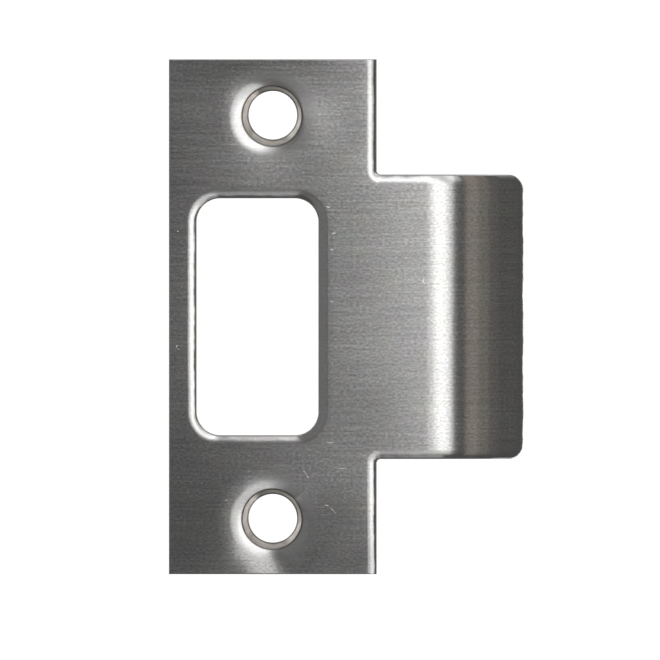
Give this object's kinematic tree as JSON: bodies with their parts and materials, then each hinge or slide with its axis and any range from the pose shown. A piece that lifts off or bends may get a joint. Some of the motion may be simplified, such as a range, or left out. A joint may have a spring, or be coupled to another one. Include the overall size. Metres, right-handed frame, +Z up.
{
  "type": "door strike plate",
  "caption": "Flat T-shaped strike plate for a door jamb, with a rounded latch opening, countersunk screw holes and a lip that curves back.",
  "frame": {"origin": "midway between the two screw holes, on the back face that lies on the jamb", "axes": "+X from the plate towards the lip, +Y into the jamb, +Z up along the plate's long side"},
  "size_m": [0.0482, 0.0072, 0.0698],
  "materials": {
    "steel": "satin"
  },
  "bodies": {
    "root": {"strike_plate": "steel"}
  },
  "joints": []
}
